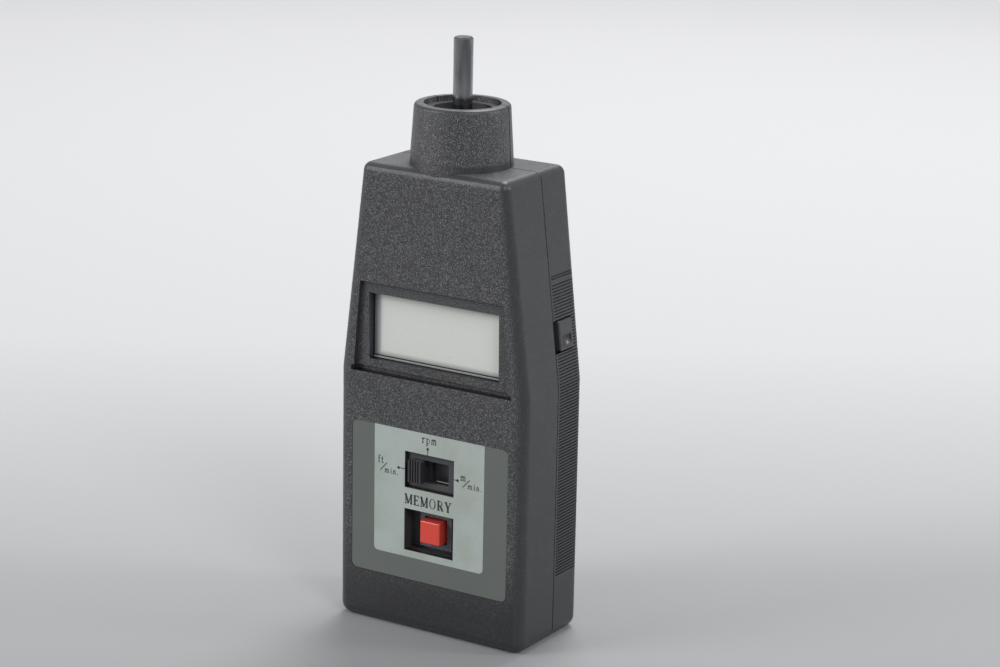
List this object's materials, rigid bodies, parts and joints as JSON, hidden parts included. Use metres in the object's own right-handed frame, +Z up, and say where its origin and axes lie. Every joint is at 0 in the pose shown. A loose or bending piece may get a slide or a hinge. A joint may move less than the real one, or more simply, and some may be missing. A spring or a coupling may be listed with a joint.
{
  "type": "contact tachometer",
  "caption": "Handheld contact tachometer with a tapered moulded housing, driven top shaft in a collar, display window, function switch, memory button and side measuring button.",
  "frame": {"origin": "centre of the base, on the surface it stands on", "axes": "+Z up along the drive shaft, -Y out of the face with the display, +X toward the side with the measuring button"},
  "size_m": [0.072, 0.0382, 0.197],
  "materials": {
    "housing": "fine spark-textured charcoal ABS",
    "cover": "fine textured charcoal ABS",
    "label": "satin printed polyester film",
    "display": "pale grey-green liquid crystal glass",
    "holder": "black moulded plastic",
    "connector": "silicone contact strip",
    "board": "solder resist over glass laminate",
    "chip": "moulded package",
    "can": "tinned can",
    "capacitor": "shrink sleeve",
    "switch_case": "black moulded plastic",
    "knob": "dark grey moulded plastic",
    "red_cap": "satin red plastic",
    "button": "satin dark grey plastic",
    "shaft": "ground and polished steel",
    "bearing_steel": "polished bearing steel",
    "clip": "blackened spring steel",
    "brass": "turned brass",
    "disc": "etched sheet steel",
    "cell_sleeve": "plain printed sleeve",
    "contact": "nickel-plated spring strip",
    "screw": "zinc-plated steel"
  },
  "bodies": {
    "housing": {"front_housing": "housing", "rear_housing": "housing", "panel_label": "label", "lcd_glass": "display", "lcd_holder": "holder", "lcd_connector_upper": "connector", "lcd_connector_lower": "connector", "main_board": "board", "processor_chip": "chip", "driver_chip": "chip", "crystal_can": "can", "supply_capacitor": "capacitor", "slide_switch_body": "switch_case", "memory_bezel": "holder", "memory_switch_body": "switch_case", "measure_switch": "switch_case", "measure_board": "board", "bearing_holder": "holder", "bearing_circlip": "clip", "upper_outer_ring": "bearing_steel", "lower_outer_ring": "bearing_steel", "light_gate": "holder", "cell_1": "cell_sleeve", "housing_screw_1": "screw", "board_screw_1": "screw", "cell_2": "cell_sleeve", "housing_screw_2": "screw", "board_screw_2": "screw", "cell_3": "cell_sleeve", "housing_screw_3": "screw", "board_screw_3": "screw", "cell_4": "cell_sleeve", "housing_screw_4": "screw", "board_screw_4": "screw", "contact_upper_left": "contact", "contact_upper_right": "contact", "contact_lower_left": "contact", "contact_lower_middle": "contact", "contact_lower_right": "contact"},
    "rotor": {"drive_shaft": "shaft", "upper_inner_ring": "bearing_steel", "lower_inner_ring": "bearing_steel", "bearing_spacer": "brass", "shaft_clip_upper": "clip", "shaft_clip_lower": "clip", "disc_hub": "brass", "chopper_disc": "disc"},
    "knob": {"slide_switch_knob": "knob"},
    "memory": {"memory_button": "red_cap"},
    "measure": {"measure_button": "button"},
    "cover": {"battery_cover": "cover"}
  },
  "joints": [
    {"name": "shaft_spin", "type": "hinge", "parent": "housing", "child": "rotor", "pos_m": [0, -0.0009, 0.16], "axis": [0, 0, 1], "continuous": true},
    {"name": "function_slide", "type": "slide", "parent": "housing", "child": "knob", "axis": [1, 0, 0], "range_m": [0, 0.0102]},
    {"name": "memory_press", "type": "slide", "parent": "housing", "child": "memory", "axis": [0, 1, 0], "range_m": [0, 0.0018], "stiffness_N_per_m": 500, "springref_m": -0.001},
    {"name": "measure_press", "type": "slide", "parent": "housing", "child": "measure", "axis": [-0.9926, 0, -0.1217], "range_m": [0, 0.0012], "stiffness_N_per_m": 700, "springref_m": -0.001},
    {"name": "cover_tilt", "type": "hinge", "parent": "housing", "child": "cover", "pos_m": [0, 0.0191, 0.01], "axis": [-1, 0, 0], "range_deg": [0, 35]}
  ]
}
